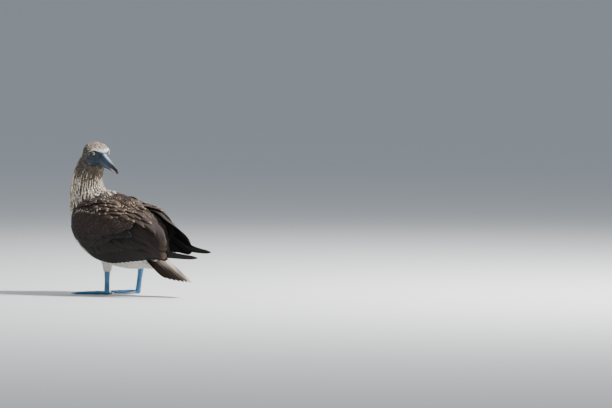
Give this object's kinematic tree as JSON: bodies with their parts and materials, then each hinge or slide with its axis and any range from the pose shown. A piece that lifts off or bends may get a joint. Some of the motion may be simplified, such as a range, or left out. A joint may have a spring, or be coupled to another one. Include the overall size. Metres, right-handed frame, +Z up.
{
  "type": "blue-footed booby",
  "caption": "Life-size still model of an adult blue-footed booby, standing with folded wings and looking back over its left shoulder.",
  "frame": {"origin": "on the floor, under the middle of the part's bounding box", "axes": "+Z up; +X from breast to tail, the bird facing -X; +Y to the bird's right"},
  "size_m": [0.4308, 0.1724, 0.3654],
  "materials": {
    "brown_plumage": "dark brown feathers, soft sheen",
    "streaked_plumage": "pale feathers streaked with brown",
    "white_plumage": "white feathers",
    "tail_plumage": "grey-brown and white feathers",
    "blue_skin": "bright blue scaled skin",
    "face_skin": "bare slate-blue skin",
    "bill": "blue-grey horn",
    "claw": "grey horn",
    "eye": "pale yellow iris under a clear cornea"
  },
  "bodies": {
    "root": {"neck": "streaked_plumage", "head": "streaked_plumage", "face": "face_skin", "bill_upper": "bill", "bill_lower": "bill", "eye_left": "eye", "eye_right": "eye", "torso": "white_plumage", "thigh_left": "white_plumage", "thigh_right": "white_plumage", "tarsus_left": "blue_skin", "tarsus_right": "blue_skin", "foot_left": "blue_skin", "foot_right": "blue_skin", "tail": "tail_plumage", "wing_left": "brown_plumage", "wing_right": "brown_plumage", "claw_left_1": "claw", "claw_left_2": "claw", "claw_left_3": "claw", "claw_left_4": "claw", "claw_right_1": "claw", "claw_right_2": "claw", "claw_right_3": "claw", "claw_right_4": "claw"}
  },
  "joints": []
}
